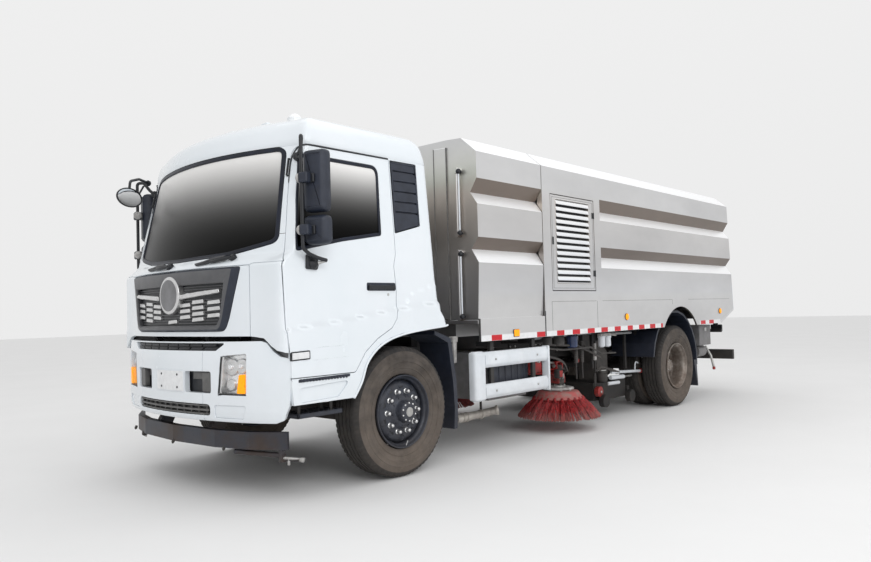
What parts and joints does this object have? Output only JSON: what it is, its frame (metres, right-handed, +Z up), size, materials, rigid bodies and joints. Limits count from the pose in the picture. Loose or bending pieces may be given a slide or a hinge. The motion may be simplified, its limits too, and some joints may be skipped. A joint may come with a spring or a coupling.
{
  "type": "street sweeper truck",
  "caption": "Two-axle cab-over street sweeper truck with a stainless tipping hopper, side brooms and a suction mouth.",
  "frame": {"origin": "middle of the footprint, on the ground", "axes": "+X to the truck's left, +Y to its rear, +Z up"},
  "size_m": [2.9, 8.55, 2.995],
  "materials": {
    "frame_black": "satin",
    "cab_white": "gloss",
    "stainless": "brushed",
    "engine_grey": "matt",
    "glass": "clear",
    "trim_dark": "satin",
    "tyre": "matt",
    "rim": "satin",
    "bristle_red": "matt",
    "arm_red": "satin",
    "lamp": "clear",
    "steel": "satin",
    "mouth_dark": "matt",
    "seat_grey": "matt",
    "guard_white": "satin"
  },
  "bodies": {
    "chassis": {"frame_rails": "frame_black", "front_axle": "frame_black", "rear_axle": "frame_black", "engines": "engine_grey", "driveline": "frame_black", "bumper": "cab_white", "lamps": "lamp", "spray_bar": "trim_dark", "mudguards": "trim_dark", "side_guards": "guard_white", "tanks": "frame_black", "water_tank": "stainless", "suction_head": "mouth_dark", "rear_beam": "frame_black", "suction_ducts": "mouth_dark"},
    "cab": {"cab_shell": "cab_white", "cab_glass": "glass", "cab_trim": "trim_dark", "cab_interior": "seat_grey", "cab_steps": "steel"},
    "hopper": {"hopper_shell": "stainless"},
    "rear_door": {"rear_door": "stainless"},
    "tip_barrels": {"tip_barrels": "frame_black"},
    "tip_rods": {"tip_rods": "steel"},
    "door_left": {"door_left": "cab_white", "door_glass_left": "glass", "mirror_left": "trim_dark"},
    "louvre_door_left": {"louvre_door_left": "stainless"},
    "knuckle_left": {"knuckle_left": "frame_black"},
    "wheel_front_left": {"tyre_front_left": "tyre", "rim_front_left": "rim"},
    "wheels_rear_left": {"tyres_rear_left": "tyre", "rims_rear_left": "rim"},
    "broom_arm_left": {"broom_arm_left": "arm_red"},
    "broom_left": {"broom_left": "bristle_red"},
    "door_right": {"door_right": "cab_white", "door_glass_right": "glass", "mirror_right": "trim_dark"},
    "louvre_door_right": {"louvre_door_right": "stainless"},
    "knuckle_right": {"knuckle_right": "frame_black"},
    "wheel_front_right": {"tyre_front_right": "tyre", "rim_front_right": "rim"},
    "wheels_rear_right": {"tyres_rear_right": "tyre", "rims_rear_right": "rim"},
    "broom_arm_right": {"broom_arm_right": "arm_red"},
    "broom_right": {"broom_right": "bristle_red"}
  },
  "joints": [
    {"name": "cab_tilt", "type": "hinge", "parent": "chassis", "child": "cab", "pos_m": [0, -4.16, 1.212], "axis": [1, 0, 0], "range_deg": [0, 45]},
    {"name": "hopper_tip", "type": "hinge", "parent": "chassis", "child": "hopper", "pos_m": [0, 3.945, 1.04], "axis": [-1, 0, 0], "range_deg": [0, 45]},
    {"name": "rear_door_lift", "type": "hinge", "parent": "hopper", "child": "rear_door", "pos_m": [0, 4.035, 2.745], "axis": [1, 0, 0], "range_deg": [0, 80]},
    {"name": "barrels_swing", "type": "hinge", "parent": "chassis", "child": "tip_barrels", "pos_m": [0, 3.045, 0.7], "axis": [-1, 0, 0], "range_deg": [0, 56.53]},
    {"name": "rods_extend", "type": "slide", "parent": "tip_barrels", "child": "tip_rods", "axis": [0, -0.932, 0.3624], "range_m": [0, 0.697]},
    {"name": "door_left_hinge", "type": "hinge", "parent": "cab", "child": "door_left", "pos_m": [1.205, -3.983, 1.5], "axis": [0, 0, -1], "range_deg": [0, 70]},
    {"name": "louvre_left_hinge", "type": "hinge", "parent": "hopper", "child": "louvre_door_left", "pos_m": [1.254, 0.124, 2], "axis": [0, 0, 1], "range_deg": [0, 100]},
    {"name": "steer_left", "type": "hinge", "parent": "chassis", "child": "knuckle_left", "pos_m": [0.9, -2.855, 0.525], "axis": [0, 0, 1], "range_deg": [-36, 36]},
    {"name": "spin_front_left", "type": "hinge", "parent": "knuckle_left", "child": "wheel_front_left", "pos_m": [1.055, -2.855, 0.525], "axis": [1, 0, 0], "continuous": true},
    {"name": "spin_rear_left", "type": "hinge", "parent": "chassis", "child": "wheels_rear_left", "pos_m": [0.914, 2.225, 0.525], "axis": [1, 0, 0], "continuous": true},
    {"name": "broom_arm_left_swing", "type": "hinge", "parent": "chassis", "child": "broom_arm_left", "pos_m": [0.5, -0.705, 0.7], "axis": [0, 0, -1], "range_deg": [0, 25]},
    {"name": "broom_left_spin", "type": "hinge", "parent": "broom_arm_left", "child": "broom_left", "pos_m": [0.9, -0.155, 0.4], "axis": [0, 0, 1], "continuous": true},
    {"name": "door_right_hinge", "type": "hinge", "parent": "cab", "child": "door_right", "pos_m": [-1.205, -3.983, 1.5], "axis": [0, 0, 1], "range_deg": [0, 70]},
    {"name": "louvre_right_hinge", "type": "hinge", "parent": "hopper", "child": "louvre_door_right", "pos_m": [-1.254, 0.124, 2], "axis": [0, 0, -1], "range_deg": [0, 100]},
    {"name": "steer_right", "type": "hinge", "parent": "chassis", "child": "knuckle_right", "pos_m": [-0.9, -2.855, 0.525], "axis": [0, 0, 1], "range_deg": [-36, 36]},
    {"name": "spin_front_right", "type": "hinge", "parent": "knuckle_right", "child": "wheel_front_right", "pos_m": [-1.055, -2.855, 0.525], "axis": [1, 0, 0], "continuous": true},
    {"name": "spin_rear_right", "type": "hinge", "parent": "chassis", "child": "wheels_rear_right", "pos_m": [-0.914, 2.225, 0.525], "axis": [1, 0, 0], "continuous": true},
    {"name": "broom_arm_right_swing", "type": "hinge", "parent": "chassis", "child": "broom_arm_right", "pos_m": [-0.5, -0.705, 0.7], "axis": [0, 0, 1], "range_deg": [0, 25]},
    {"name": "broom_right_spin", "type": "hinge", "parent": "broom_arm_right", "child": "broom_right", "pos_m": [-0.9, -0.155, 0.4], "axis": [0, 0, 1], "continuous": true}
  ],
  "couplings": [
    {"joint": "steer_right", "follows": "steer_left", "ratio": 1},
    {"joint": "barrels_swing", "follows": "hopper_tip", "ratio": 1.245},
    {"joint": "rods_extend", "follows": "hopper_tip", "m_per_rad": 0.88487}
  ]
}
